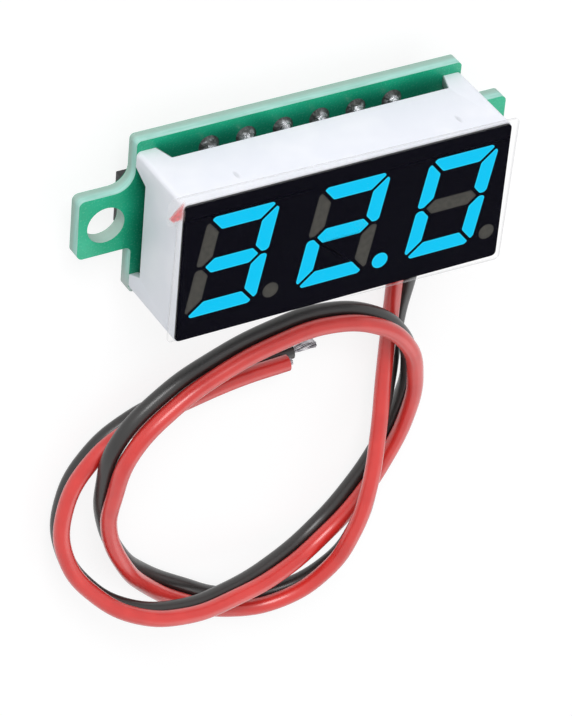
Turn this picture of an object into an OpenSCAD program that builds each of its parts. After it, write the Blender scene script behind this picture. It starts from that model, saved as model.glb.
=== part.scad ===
// Three-digit LED panel meter module: a slim green board with a mounting ear at each end carries a
// white seven-segment display, its driver parts on the back, and a pair of thin wires in loose loops.
// It lies on its back: +Z out of the display face, +X to the right of the digits, +Y to their top.

/* [Circuit board] */
// Width of the board between its ears
board_w = 22.5; // [21:0.1:30]
// Height of the board
board_h = 11; // [10.6:0.1:14]
// Thickness of the board
board_t = 1; // [0.6:0.1:1.6]
// Corner radius of the board
board_corner_r = 0.3; // [0.2:0.1:1]
// How far each ear stands out from the board
ear_reach = 3.65; // [3:0.05:6]
// Height of each ear
ear_h = 4.2; // [3.4:0.1:6]
// Radius on the ear's outer corners
ear_corner_r = 0.4; // [0.2:0.1:1]
// Radius of the fillet above each ear
ear_upper_fillet_r = 1.3; // [0.4:0.1:2]
// Radius of the fillet below each ear
ear_lower_fillet_r = 0.4; // [0.2:0.1:1.2]
// Diameter of the mounting hole in each ear
ear_hole_d = 2.5; // [1.6:0.1:3]
// Distance from the centre of each mounting hole to the end of its ear
ear_hole_edge = 1.85; // [1.5:0.05:3]

/* [Display housing] */
// Width of the display
display_w = 22.5; // [22:0.1:26]
// Height of the display
display_h = 10; // [9.8:0.1:12]
// Height of the white housing from the board to the mask
housing_t = 5.9; // [5:0.05:9]
// How far the display sits below the board's centre line
display_drop = 0.2; // [0:0.05:0.5]
// Corner radius of the housing and the mask
display_corner_r = 0.3; // [0.1:0.05:0.8]
// Height of the feet that lift the housing off the board
foot_h = 1.3; // [0.8:0.1:2]
// Width of a foot at its toe
foot_toe_w = 1.3; // [0.8:0.1:2]
// Depth of a foot at its toe
foot_toe_h = 1.05; // [0.8:0.05:1.6]
// How much wider a foot is at its root, along the width
foot_flare_w = 0.4; // [0.1:0.1:1]
// How much deeper a foot is at its root, along the height
foot_flare_h = 0.6; // [0.1:0.1:1]
// Wall of the housing around the base plate
housing_wall = 0.6; // [0.5:0.05:1]
// Thickness of the base plate inside the housing
base_plate_t = 0.8; // [0.5:0.1:1.2]
// Clearance round the base plate
base_plate_gap = 0.05; // [0.02:0.01:0.1]
// Thickness of the black mask on the face
mask_t = 0.15; // [0.1:0.05:0.4]
// White left showing above and below the mask
mask_margin = 0.1; // [0:0.05:0.3]

/* [Digits] */
// Figure on the left digit
digit_1_shows = 3; // [0, 1, 2, 3, 4, 5, 6, 7, 9]
// Figure on the middle digit
digit_2_shows = 2; // [0, 1, 2, 3, 4, 5, 6, 7, 9]
// Figure on the right digit
digit_3_shows = 0; // [0, 1, 2, 3, 4, 5, 6, 7, 9]
// Digit after which the decimal point is lit
point_lit_after = 2; // [1:1:3]
// How far the digits sit to the right of the display's middle
digits_shift_x = -0.15; // [-0.3:0.05:0.3]
// How far the digits sit above the display's middle
digits_shift_y = 0.15; // [-0.3:0.05:0.3]
// Distance from one digit to the next
digit_pitch = 7.62; // [7.5:0.02:7.9]
// Height of a digit
digit_h = 7.05; // [6.4:0.05:8]
// Width of a digit across its uprights
digit_w = 4.9; // [4.2:0.05:5.1]
// Width of one segment
segment_w = 1; // [0.7:0.02:1.2]
// Gap between neighbouring segments
segment_gap = 0.22; // [0.1:0.02:0.4]
// Cut across the corners of a digit
digit_corner_cut = 0.5; // [0.3:0.05:0.7]
// Lean of the digits to the right, in degrees
digit_slant = 10; // [0:1:12]
// Diameter of a decimal point
point_d = 1.1; // [0.8:0.05:1.2]
// Distance from a digit's centre to its decimal point
point_offset = 2.87; // [2.8:0.01:2.95]
// Space between the base plate and the resin that fills each window
resin_lift = 0.2; // [0.15:0.05:0.4]
// Side of an LED chip
led_chip_w = 0.3; // [0.2:0.05:0.4]
// Height of an LED chip
chip_t = 0.12; // [0.08:0.01:0.14]

/* [Protective film] */
// Width of the clear film over the face
film_w = 23.4; // [21:0.1:26]
// Height of the clear film
film_h = 10.5; // [9:0.1:11]
// Thickness of the film
film_t = 0.1; // [0.05:0.05:0.2]
// How far the film sits to the left of the display's middle
film_shift_x = 0.1; // [0:0.05:0.5]
// How far the film sits above the display's middle
film_shift_y = 0.3; // [0:0.05:0.3]
// How far the film is turned, in degrees
film_turn = 1.2; // [0:0.2:2]

/* [Pins] */
// Number of pins in each row
pins_per_row = 6; // [4:1:7]
// Distance from one pin to the next
pin_pitch = 2.54; // [2:0.01:2.54]
// Distance between the two rows of pins
pin_row_spacing = 8; // [7:0.1:8.2]
// Diameter of a pin
pin_d = 0.5; // [0.4:0.05:0.6]
// Diameter of the plated hole round a pin
pin_hole_d = 0.9; // [0.8:0.05:1]
// Diameter of the solder on a pin's pad
pin_pad_d = 1.4; // [1.2:0.1:1.5]
// How far an upper pin stands out from the back of the board; the lower ones reach the surface
pin_tail = 1.2; // [0.9:0.1:1.7]
// Height of the solder on a pin
pin_solder_h = 0.6; // [0.3:0.1:0.8]

/* [Parts on the back] */
// Body of the microcontroller: along X, along Y, height
micro_size = [4.4, 6.5, 1];
// Centre of the microcontroller
micro_at = [-2.5, 0];
// Leads on each side of the microcontroller
micro_leads = 10; // [8:1:10]
// Distance from one microcontroller lead to the next
micro_lead_pitch = 0.65; // [0.5:0.05:0.65]
// Width of a microcontroller lead
micro_lead_w = 0.25; // [0.2:0.01:0.3]
// Thickness of a microcontroller lead
micro_lead_t = 0.15; // [0.1:0.01:0.2]
// How far a microcontroller lead reaches from the body
micro_lead_reach = 1; // [0.7:0.05:1.2]
// Height at which a lead leaves the microcontroller
micro_lead_rise = 0.52; // [0.4:0.02:0.7]
// Space under the bodies of the microcontroller and the diode
package_standoff = 0.1; // [0.05:0.01:0.2]
// Bevel on the top edges of the moulded bodies
package_bevel = 0.14; // [0.05:0.01:0.3]
// Body of the voltage regulator: along X, along Y, height
regulator_size = [2.5, 4.5, 1.5];
// Centre of the voltage regulator
regulator_at = [8.9, 2.3];
// Distance from one regulator lead to the next
regulator_lead_pitch = 1.5; // [1.2:0.1:1.6]
// Width of a regulator lead
regulator_lead_w = 0.44; // [0.3:0.02:0.6]
// How far the regulator's leads reach from its body
regulator_lead_reach = 0.75; // [0.5:0.05:1]
// Width of the regulator's tab
regulator_tab_w = 1.6; // [1.2:0.1:1.8]
// How far the regulator's tab reaches from its body
regulator_tab_reach = 0.55; // [0.3:0.05:0.55]
// Thickness of the regulator's leads and tab
regulator_lead_t = 0.4; // [0.3:0.05:0.5]
// Body of the input diode, the tallest part, which reaches the surface: along X, along Y, height
diode_size = [2.6, 4.2, 2];
// Centre of the input diode
diode_at = [-9.75, -0.35];
// Width of a diode terminal
diode_terminal_w = 1.4; // [1.2:0.1:1.8]
// Thickness of a diode terminal
diode_terminal_t = 0.22; // [0.15:0.01:0.3]
// Height at which a terminal leaves the diode
diode_terminal_rise = 0.95; // [0.7:0.05:1.2]
// How far a diode terminal reaches under the body
diode_terminal_foot = 0.9; // [0.6:0.1:1.2]
// Side of the calibration trimmer
trimmer_w = 3; // [2.8:0.1:3.2]
// Thickness of the trimmer's base
trimmer_base_t = 0.6; // [0.5:0.05:0.7]
// Centre of the trimmer
trimmer_at = [3.7, 0];
// Width of a trimmer terminal
trimmer_terminal_w = 0.8; // [0.6:0.05:1]
// How far a trimmer terminal reaches from the base
trimmer_terminal_reach = 0.3; // [0.2:0.05:0.5]
// How far the trimmer's terminals stay below its base's top
trimmer_terminal_drop = 0.1; // [0.05:0.05:0.2]
// Diameter of the trimmer's rotor
rotor_d = 2.2; // [1.8:0.1:2.6]
// Thickness of the trimmer's rotor
rotor_t = 0.4; // [0.3:0.05:0.5]
// Diameter of the bore that the rotor turns in
rotor_bore_d = 0.8; // [0.7:0.05:1.2]
// Width of the screwdriver slots in the rotor
rotor_slot_w = 0.3; // [0.2:0.05:0.4]
// Length of the screwdriver slots in the rotor
rotor_slot_l = 1.54; // [1:0.02:1.8]
// Running clearance round the rotor's stem and under its disc
rotor_clearance = 0.04; // [0.02:0.01:0.1]
// Body of a chip capacitor or resistor: length, width
chip_part_size = [1.6, 0.8];
// Height of a chip capacitor
capacitor_t = 0.8; // [0.6:0.1:1]
// Height of a chip resistor
resistor_t = 0.45; // [0.3:0.05:0.6]
// Length of the metal on each end of a chip part
chip_end_l = 0.3; // [0.2:0.05:0.4]

/* [Wires] */
// Diameter of a wire over its insulation
wire_d = 1.1; // [0.9:0.05:1.1]
// Distance between the axes of the two wires of the pair
wire_pitch = 1.15; // [1.15:0.05:1.2]
// Diameter of the bare strands
strand_d = 0.5; // [0.3:0.05:0.6]
// Bare length at the end of the red wire
red_tip_l = 0.3; // [0.3:0.1:2]
// Bare length at the end of the black wire
black_tip_l = 1.7; // [0.3:0.1:2]
// How much further the black wire's insulation reaches at the free end
black_extra_l = 0.9; // [0.2:0.1:2]
// Diameter of the solder joint that holds each wire
wire_joint_d = 1.1; // [0.9:0.05:1.15]
// Distance from the board's lower edge to the wires' solder joints
wire_joint_in = 2.3; // [2:0.1:3]

/* [Hidden] */

fine = 48;     // facets of the round parts that matter
small = 20;    // facets of the smallest round parts
cut = 0.01;    // how far a cutter runs past a face

// Heights of the layers, from the surface up
back_z = diode_size[2];
front_z = back_z + board_t;
housing_base_z = front_z + foot_h;
plate_top_z = housing_base_z + base_plate_t;
mask_z = front_z + housing_t;
film_z = mask_z + mask_t;

// Centres in plan
display_y = -display_drop;
digits_at = [digits_shift_x, display_y + digits_shift_y];
pin_row_y = pin_row_spacing / 2;
ear_end = board_w / 2 + ear_reach;
ear_hole_x = ear_end - ear_hole_edge;
wire_joint_y = wire_joint_in - board_h / 2;

// Which segments, a to g, each figure lights
LIT = [
    [1, 1, 1, 1, 1, 1, 0], [0, 1, 1, 0, 0, 0, 0], [1, 1, 0, 1, 1, 0, 1], [1, 1, 1, 1, 0, 0, 1],
    [0, 1, 1, 0, 0, 1, 1], [1, 0, 1, 1, 0, 1, 1], [1, 0, 1, 1, 1, 1, 1], [1, 1, 1, 0, 0, 0, 0],
    [1, 1, 1, 1, 1, 1, 1], [1, 1, 1, 1, 0, 1, 1]
];
digits_show = [digit_1_shows, digit_2_shows, digit_3_shows];

// Places of the chip capacitors and resistors: x, y, turn
capacitor_places = [[-9.4, 4.2, 0], [-9.4, -4.3, 0]];
resistor_places = [[6.6, 0, 90], [8.4, -1.3, 0]];

// Route of the pair: x, y and z of the red wire's axis, then the pair's lean in degrees. At 0 the
// black wire lies under the red one, and at 90 beside it, on the left of the way it runs.
pair_route = [
    [9.3, -4.6, 1.4, 90], [9.3, -7.6, 1.4, 90], [9.4, -11.4, 1.1, 84], [9.3, -15.4, 1.2, 56],
    [8.9, -19.2, 1.8, 50], [8.3, -22.8, 2.8, 36], [7.4, -26.4, 3.8, 38], [6.4, -29.7, 4, 44],
    [5, -33, 3.35, 33], [2.2, -35.1, 2.6, 7], [-1.5, -35.25, 1.85, -20], [-4.8, -33.65, 1.55, -34],
    [-7.7, -31.2, 1.7, -22], [-10, -28, 2.5, -12], [-11.4, -24.4, 2.8, -10], [-11.6, -20.95, 3.6, 10],
    [-10.8, -17.2, 4.2, 34], [-8, -14.7, 4.1, 32], [-4.55, -13.3, 3.7, 18], [-0.55, -12.3, 3.5, 16],
    [3.2, -12, 3.5, 16], [6.5, -12.8, 3.8, 14], [9.1, -15.1, 3.7, 10], [10.55, -18.7, 3, 9],
    [10.8, -22.45, 2.2, -2], [9.9, -25.95, 1.75, -4], [8, -29, 1.75, -8], [5.5, -31.3, 1.85, -2],
    [2, -32.5, 2.7, 0], [-2, -32.7, 3.6, 10], [-6, -32.4, 4.2, 8], [-9.5, -31.4, 3.9, 6],
    [-12.2, -29.4, 3.05, 2], [-14, -26.45, 2.2, -12], [-14.1, -22.75, 1.75, -20], [-12.3, -19.2, 1.75, -22],
    [-9.3, -17.35, 1.75, -16], [-5.55, -16.4, 1.8, -14], [-2, -15.85, 1.75, -10], [1.45, -15.65, 1.75, -8]
];

// ---------------------------------------------------------------------------------------------
// Outlines and helpers
// ---------------------------------------------------------------------------------------------

module rounded_rectangle(size, r) {
    square([size[0] - 2 * r, size[1]], center = true);
    square([size[0], size[1] - 2 * r], center = true);
    for (sx = [-1, 1], sy = [-1, 1])
        translate([sx * (size[0] / 2 - r), sy * (size[1] / 2 - r)])
            circle(r, $fn = fine);
}

// A concave fillet of radius r in the corner at the origin, filling the quadrant -X, +Y
module inside_fillet(r) {
    difference() {
        translate([-r, -cut])
            square([r + cut, r + cut]);
        translate([-r, r])
            circle(r, $fn = fine);
    }
}

// Puts what is drawn upwards from z = 0 on the back of the board, pointing away from it
module on_back(at = [0, 0], turn = 0) {
    translate([at[0], at[1], back_z])
        mirror([0, 0, 1])
            rotate([0, 0, turn])
                children();
}

module at_each_pin(side) {
    for (i = [0 : pins_per_row - 1])
        translate([(i - (pins_per_row - 1) / 2) * pin_pitch, side * pin_row_y, 0])
            children();
}

// The display's outline, brought in by a margin above and below
module display_outline(margin = 0) {
    translate([0, display_y])
        rounded_rectangle([display_w, display_h - 2 * margin], display_corner_r);
}

// ---------------------------------------------------------------------------------------------
// Circuit board
// ---------------------------------------------------------------------------------------------

module ear_outline() {
    ear_inner = board_w / 2 - board_corner_r;
    translate([-(ear_inner + ear_end) / 2, 0])
        rounded_rectangle([ear_end - ear_inner, ear_h], ear_corner_r);
    translate([-board_w / 2, ear_h / 2])
        inside_fillet(ear_upper_fillet_r);
    translate([-board_w / 2, -ear_h / 2])
        mirror([0, 1])
            inside_fillet(ear_lower_fillet_r);
}

module board_outline() {
    rounded_rectangle([board_w, board_h], board_corner_r);
    ear_outline();
    mirror([1, 0])
        ear_outline();
}

module circuit_board() {
    color("seagreen")
        difference() {
            translate([0, 0, back_z])
                linear_extrude(board_t)
                    board_outline();
            for (side = [-1, 1])
                translate([side * ear_hole_x, 0, back_z - cut])
                    cylinder(h = board_t + 2 * cut, d = ear_hole_d, $fn = fine);
            for (side = [-1, 1])
                at_each_pin(side)
                    translate([0, 0, back_z - cut])
                        cylinder(h = board_t + 2 * cut, d = pin_hole_d, $fn = small);
        }
}

// ---------------------------------------------------------------------------------------------
// Digits: outlines of the seven segments, upright and centred on the digit
// ---------------------------------------------------------------------------------------------

half_w = digit_w / 2;
half_h = digit_h / 2;
mitre = segment_gap / sqrt(2);
tip_cut = 0.15;

// Segment a, along the top
top_bar = [
    [-half_w + digit_corner_cut, half_h],
    [half_w - digit_corner_cut, half_h],
    [half_w - (digit_corner_cut + mitre) / 2, half_h - (digit_corner_cut - mitre) / 2],
    [half_w - segment_w - mitre, half_h - segment_w],
    [-half_w + segment_w + mitre, half_h - segment_w],
    [-half_w + (digit_corner_cut + mitre) / 2, half_h - (digit_corner_cut - mitre) / 2]
];

// Segment b, the upper right upright
right_bar = [
    [half_w - segment_w, half_h - segment_w - mitre],
    [half_w - (digit_corner_cut - mitre) / 2, half_h - (digit_corner_cut + mitre) / 2],
    [half_w, half_h - digit_corner_cut],
    [half_w, segment_gap / 2 + tip_cut],
    [half_w - tip_cut, segment_gap / 2],
    [half_w - segment_w / 2 + mitre - segment_gap / 2, segment_gap / 2],
    [half_w - segment_w, segment_w / 2 + mitre]
];

// Segment g, across the middle
middle_bar = [
    [-half_w + segment_w / 2 + mitre, 0],
    [-half_w + segment_w + mitre, segment_w / 2],
    [half_w - segment_w - mitre, segment_w / 2],
    [half_w - segment_w / 2 - mitre, 0],
    [half_w - segment_w - mitre, -segment_w / 2],
    [-half_w + segment_w + mitre, -segment_w / 2]
];

function flipped(points, sx, sy) = [for (p = points) [sx * p[0], sy * p[1]]];
function slanted(points) = [for (p = points) [p[0] + tan(digit_slant) * p[1], p[1]]];
function middle(points) = [for (k = [0, 1]) (min([for (p = points) p[k]]) + max([for (p = points) p[k]])) / 2];

// Segments a to g of one digit
SEGMENTS = [
    top_bar, right_bar, flipped(right_bar, 1, -1), flipped(top_bar, 1, -1),
    flipped(right_bar, -1, -1), flipped(right_bar, -1, 1), middle_bar
];

function digit_centre(i) = [digits_at[0] + (i - 1) * digit_pitch, digits_at[1]];
function point_centre(i) = digit_centre(i) + [point_offset, -half_h + segment_w / 2];
function is_lit(i, s) = LIT[digits_show[i]][s] == 1;

module segment_outline(i, s) {
    translate(digit_centre(i))
        polygon(slanted(SEGMENTS[s]));
}

module point_outline(i) {
    translate(point_centre(i))
        circle(d = point_d, $fn = fine);
}

module all_windows() {
    for (i = [0 : 2]) {
        for (s = [0 : 6])
            segment_outline(i, s);
        point_outline(i);
    }
}

// ---------------------------------------------------------------------------------------------
// Display: housing, mask, resin in the windows, film, base plate, chips and pins
// ---------------------------------------------------------------------------------------------

// A trapezoid tunnel under the housing, as wide as the space between two feet
module foot_gap(span, toe, flare, length) {
    rotate([90, 0, 0])
        linear_extrude(length, center = true)
            polygon([
                [-span / 2 + toe, -cut],
                [span / 2 - toe, -cut],
                [span / 2 - toe - flare, foot_h],
                [-span / 2 + toe + flare, foot_h]
            ]);
}

module display_housing() {
    plate_room = [display_w - 2 * housing_wall, display_h - 2 * housing_wall];
    color("white")
        difference() {
            translate([0, 0, front_z])
                linear_extrude(housing_t)
                    display_outline();
            translate([0, display_y, front_z])
                foot_gap(display_w, foot_toe_w, foot_flare_w, display_h + 2 * housing_wall);
            translate([0, display_y, front_z])
                rotate([0, 0, 90])
                    foot_gap(display_h, foot_toe_h, foot_flare_h, display_w + 2 * housing_wall);
            translate([0, display_y, front_z - cut])
                linear_extrude(plate_top_z - front_z + cut)
                    square(plate_room, center = true);
            translate([0, 0, plate_top_z - cut])
                linear_extrude(mask_z - plate_top_z + 2 * cut)
                    all_windows();
        }
}

module display_mask() {
    color("black")
        translate([0, 0, mask_z])
            linear_extrude(mask_t)
                difference() {
                    display_outline(mask_margin);
                    all_windows();
                }
}

module digit_resin(i, lit) {
    translate([0, 0, plate_top_z + resin_lift])
        linear_extrude(film_z - plate_top_z - resin_lift)
            for (s = [0 : 6])
                if (is_lit(i, s) == lit)
                    segment_outline(i, s);
}

module lit_digit(i) {
    color("deepskyblue")
        digit_resin(i, true);
}

module dark_digit(i) {
    color("dimgray")
        digit_resin(i, false);
}

module point_resin(i) {
    translate([0, 0, plate_top_z + resin_lift])
        linear_extrude(film_z - plate_top_z - resin_lift)
            point_outline(i);
}

module lit_point() {
    color("deepskyblue")
        point_resin(point_lit_after - 1);
}

module dark_points() {
    color("dimgray")
        for (i = [0 : 2])
            if (i != point_lit_after - 1)
                point_resin(i);
}

module protective_film() {
    color("lightcyan", 0.3)
        translate([-film_shift_x, display_y + film_shift_y, film_z])
            rotate([0, 0, -film_turn])
                linear_extrude(film_t)
                    square([film_w, film_h], center = true);
}

module base_plate() {
    color("darkgreen")
        translate([0, display_y, housing_base_z])
            linear_extrude(base_plate_t)
                square([
                    display_w - 2 * housing_wall - 2 * base_plate_gap,
                    display_h - 2 * housing_wall - 2 * base_plate_gap
                ], center = true);
}

module led_chips() {
    color("gold")
        for (i = [0 : 2]) {
            for (s = [0 : 6])
                translate(digit_centre(i) + middle(slanted(SEGMENTS[s])))
                    translate([0, 0, plate_top_z])
                        linear_extrude(chip_t)
                            square(led_chip_w, center = true);
            translate(point_centre(i))
                translate([0, 0, plate_top_z])
                    linear_extrude(chip_t)
                        square(led_chip_w, center = true);
        }
}

module pins(side) {
    tail = side > 0 ? pin_tail : back_z;
    color("silver")
        at_each_pin(side)
            translate([0, 0, back_z - tail])
                cylinder(h = housing_base_z - back_z + tail, d = pin_d, $fn = small);
}

// Solder that fills the plated hole and rises up the pin on both faces of the board
module pin_solder(side) {
    neck = pin_d / 2 + 0.06;
    color("lightgray")
        at_each_pin(side)
            rotate_extrude($fn = small)
                polygon([
                    [pin_d / 2, back_z - pin_solder_h],
                    [neck, back_z - pin_solder_h],
                    [(neck + pin_pad_d / 2) / 2.2, back_z - pin_solder_h / 3],
                    [pin_pad_d / 2, back_z],
                    [pin_hole_d / 2, back_z],
                    [pin_hole_d / 2, front_z],
                    [pin_pad_d / 2, front_z],
                    [(neck + pin_pad_d / 2) / 2.2, front_z + pin_solder_h / 3],
                    [neck, front_z + pin_solder_h],
                    [pin_d / 2, front_z + pin_solder_h]
                ]);
}

// ---------------------------------------------------------------------------------------------
// Parts on the back of the board
// ---------------------------------------------------------------------------------------------

// A moulded package with its top edges bevelled
module package(size, standoff) {
    waist = standoff + (size[2] - standoff) / 2;
    translate([0, 0, standoff])
        linear_extrude(waist - standoff)
            square([size[0], size[1]], center = true);
    intersection() {
        translate([0, 0, waist])
            rotate([90, 0, 0])
                linear_extrude(size[1] + 1, center = true)
                    bevelled_end(size[0], size[2] - waist);
        translate([0, 0, waist])
            rotate([90, 0, 90])
                linear_extrude(size[0] + 1, center = true)
                    bevelled_end(size[1], size[2] - waist);
    }
}

module bevelled_end(width, height) {
    polygon([
        [-width / 2, 0], [width / 2, 0],
        [width / 2 - package_bevel, height], [-width / 2 + package_bevel, height]
    ]);
}

// One gull-wing lead that leaves a body's side at height rise and ends flat on the board
module gull_lead(width, rise, reach, t) {
    rotate([90, 0, 0])
        linear_extrude(width, center = true)
            polygon([
                [0, rise], [reach * 0.3, rise], [reach * 0.55, t], [reach, t],
                [reach, 0], [reach * 0.45, 0], [reach * 0.2, rise - t], [0, rise - t]
            ]);
}

module microcontroller() {
    dimple_at = [-micro_size[0] / 2 + 0.8, micro_size[1] / 2 - 0.8];
    color("#2b2b2d")
        on_back(micro_at)
            difference() {
                package(micro_size, package_standoff);
                translate([dimple_at[0], dimple_at[1], micro_size[2] - 0.1])
                    cylinder(h = 0.2, d = 0.6, $fn = small);
            }
}

module microcontroller_leads() {
    color("silver")
        on_back(micro_at)
            for (turn = [0, 180])
                rotate([0, 0, turn])
                    for (i = [0 : micro_leads - 1])
                        translate([micro_size[0] / 2, (i - (micro_leads - 1) / 2) * micro_lead_pitch, 0])
                            gull_lead(micro_lead_w, micro_lead_rise, micro_lead_reach, micro_lead_t);
}

module voltage_regulator() {
    color("#2b2b2d")
        on_back(regulator_at)
            package(regulator_size, 0);
}

module voltage_regulator_leads() {
    color("silver")
        on_back(regulator_at)
            linear_extrude(regulator_lead_t) {
                for (i = [-1 : 1])
                    translate([regulator_size[0] / 2, i * regulator_lead_pitch - regulator_lead_w / 2])
                        square([regulator_lead_reach, regulator_lead_w]);
                translate([-regulator_size[0] / 2 - regulator_tab_reach, -regulator_tab_w / 2])
                    square([regulator_tab_reach, regulator_tab_w]);
            }
}

module input_diode() {
    color("#2b2b2d")
        on_back(diode_at)
            package(diode_size, package_standoff);
}

module input_diode_terminals() {
    color("silver")
        on_back(diode_at)
            for (turn = [90, -90])
                rotate([0, 0, turn])
                    translate([diode_size[1] / 2, 0, 0])
                        rotate([90, 0, 0])
                            linear_extrude(diode_terminal_w, center = true)
                                polygon([
                                    [0, diode_terminal_rise],
                                    [diode_terminal_t, diode_terminal_rise],
                                    [diode_terminal_t, 0],
                                    [-diode_terminal_foot, 0],
                                    [-diode_terminal_foot, package_standoff],
                                    [0, package_standoff]
                                ]);
}

module trimmer_base() {
    color("ivory")
        on_back(trimmer_at)
            difference() {
                linear_extrude(trimmer_base_t)
                    square(trimmer_w, center = true);
                translate([0, 0, -cut])
                    cylinder(h = trimmer_base_t + 2 * cut, d = rotor_bore_d, $fn = fine);
            }
}

module trimmer_terminals() {
    color("silver")
        on_back(trimmer_at)
            linear_extrude(trimmer_base_t - trimmer_terminal_drop) {
                for (side = [-1, 1])
                    translate([
                        -trimmer_w / 2 - trimmer_terminal_reach,
                        side * (trimmer_w / 2 - trimmer_terminal_w / 2) - trimmer_terminal_w / 2
                    ])
                        square([trimmer_terminal_reach, trimmer_terminal_w]);
                translate([trimmer_w / 2, -trimmer_terminal_w])
                    square([trimmer_terminal_reach, 2 * trimmer_terminal_w]);
            }
}

module trimmer_rotor() {
    stem_d = rotor_bore_d - 2 * rotor_clearance;
    disc_z = trimmer_base_t + rotor_clearance;
    slot_z = disc_z + rotor_t / 2;
    color("gainsboro")
        on_back(trimmer_at)
            difference() {
                union() {
                    translate([0, 0, rotor_clearance])
                        cylinder(h = disc_z, d = stem_d, $fn = fine);
                    translate([0, 0, disc_z])
                        cylinder(h = rotor_t, d = rotor_d, $fn = fine);
                }
                for (turn = [0, 90])
                    rotate([0, 0, turn])
                        translate([-rotor_slot_l / 2, -rotor_slot_w / 2, slot_z])
                            cube([rotor_slot_l, rotor_slot_w, rotor_t]);
            }
}

// The ceramic of a chip part, without its metal ends
module chip_middle(height) {
    linear_extrude(height)
        square([chip_part_size[0] - 2 * chip_end_l, chip_part_size[1]], center = true);
}

module chip_ends(height) {
    for (turn = [0, 180])
        rotate([0, 0, turn])
            translate([chip_part_size[0] / 2 - chip_end_l, -chip_part_size[1] / 2, 0])
                cube([chip_end_l, chip_part_size[1], height]);
}

module capacitors() {
    color("tan")
        for (place = capacitor_places)
            on_back(place, place[2])
                chip_middle(capacitor_t);
}

module capacitor_ends() {
    color("silver")
        for (place = capacitor_places)
            on_back(place, place[2])
                chip_ends(capacitor_t);
}

module resistors() {
    color("#2b2b2d")
        for (place = resistor_places)
            on_back(place, place[2])
                chip_middle(resistor_t);
}

module resistor_ends() {
    color("silver")
        for (place = resistor_places)
            on_back(place, place[2])
                chip_ends(resistor_t);
}

// ---------------------------------------------------------------------------------------------
// Wires
// ---------------------------------------------------------------------------------------------

wire_sides = 8;
last = len(pair_route) - 1;

function unit(v) = v / norm(v);
function tangent(path, i) = unit(path[min(i + 1, len(path) - 1)] - path[max(i - 1, 0)]);
function left_of(t) = unit([-t[1], t[0], 0]);

red_path = [for (p = pair_route) [p[0], p[1], p[2]]];

function under_red(i) =
    let (lean = pair_route[i][3])
    red_path[i] + wire_pitch * (sin(lean) * left_of(tangent(red_path, i)) - [0, 0, cos(lean)]);

black_beside = [for (i = [0 : last]) under_red(i)];
black_end = black_beside[last] + black_extra_l * unit(black_beside[last] - black_beside[last - 1]);
black_path = concat([for (i = [0 : last - 1]) black_beside[i]], [black_end]);

function ring(path, i) =
    let (t = tangent(path, i), l = left_of(t), u = cross(t, l))
    [for (k = [0 : wire_sides - 1])
        let (a = (k + 0.5) * 360 / wire_sides)
        path[i] + wire_d / 2 * (cos(a) * l + sin(a) * u)];

// A round tube along a path, closed at both ends
module tube(path) {
    rings = len(path);
    points = [for (i = [0 : rings - 1]) each ring(path, i)];
    walls = [for (i = [0 : rings - 2], k = [0 : wire_sides - 1])
        let (a = i * wire_sides + k, b = i * wire_sides + (k + 1) % wire_sides)
        [a, a + wire_sides, b + wire_sides, b]];
    start_cap = [for (k = [0 : wire_sides - 1]) k];
    end_cap = [for (k = [wire_sides - 1 : -1 : 0]) (rings - 1) * wire_sides + k];
    polyhedron(points, concat([start_cap], walls, [end_cap]));
}

// The bare strands past the end of a wire
module wire_tip(path, length) {
    way = tangent(path, len(path) - 1);
    translate(path[len(path) - 1])
        rotate([0, acos(way[2]), atan2(way[1], way[0])])
            cylinder(h = length, d = strand_d, $fn = small);
}

// A dome of solder on the board with the bare strands running out of it to the insulation
module wire_joint(start) {
    dome_h = back_z - start[2] + strand_d / 2 + 0.1;
    strand_l = wire_joint_y - start[1];
    color("lightgray") {
        translate([start[0], wire_joint_y, back_z])
            mirror([0, 0, 1])
                cylinder(h = dome_h, d1 = wire_joint_d, d2 = strand_d + 0.1, $fn = small);
        translate(start)
            rotate([-90, 0, 0])
                cylinder(h = strand_l, d = strand_d, $fn = small);
    }
}

module red_wire() {
    color("red")
        tube(red_path);
}

module black_wire() {
    color("#303030")
        tube(black_path);
}

module red_wire_tip() {
    color("silver")
        wire_tip(red_path, red_tip_l);
}

module black_wire_tip() {
    color("silver")
        wire_tip(black_path, black_tip_l);
}

// ---------------------------------------------------------------------------------------------

circuit_board();
display_housing();
display_mask();
protective_film();
base_plate();
led_chips();
lit_digit(0);  // digit_1_lit
dark_digit(0);  // digit_1_dark
lit_digit(1);  // digit_2_lit
dark_digit(1);  // digit_2_dark
lit_digit(2);  // digit_3_lit
dark_digit(2);  // digit_3_dark
lit_point();
dark_points();
pins(1);  // upper_pins
pins(-1);  // lower_pins
pin_solder(1);  // upper_pin_solder
pin_solder(-1);  // lower_pin_solder
microcontroller();
microcontroller_leads();
voltage_regulator();
voltage_regulator_leads();
input_diode();
input_diode_terminals();
trimmer_base();
trimmer_terminals();
trimmer_rotor();
capacitors();
capacitor_ends();
resistors();
resistor_ends();
wire_joint(red_path[0]);  // red_wire_joint
wire_joint(black_path[0]);  // black_wire_joint
red_wire();
black_wire();
red_wire_tip();
black_wire_tip();
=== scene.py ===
# %% [markdown]
# # A three-digit panel meter
# The meter is a small green circuit board with a white seven-segment display on its front, driver
# parts on its back and two thin wires. The CAD frame is loaded first, because every piece that we
# model here is placed by it, and the frame's own size must not change.

# %% Load the frame
import math

import bmesh
import bpy
from mathutils import Matrix, Vector


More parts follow.
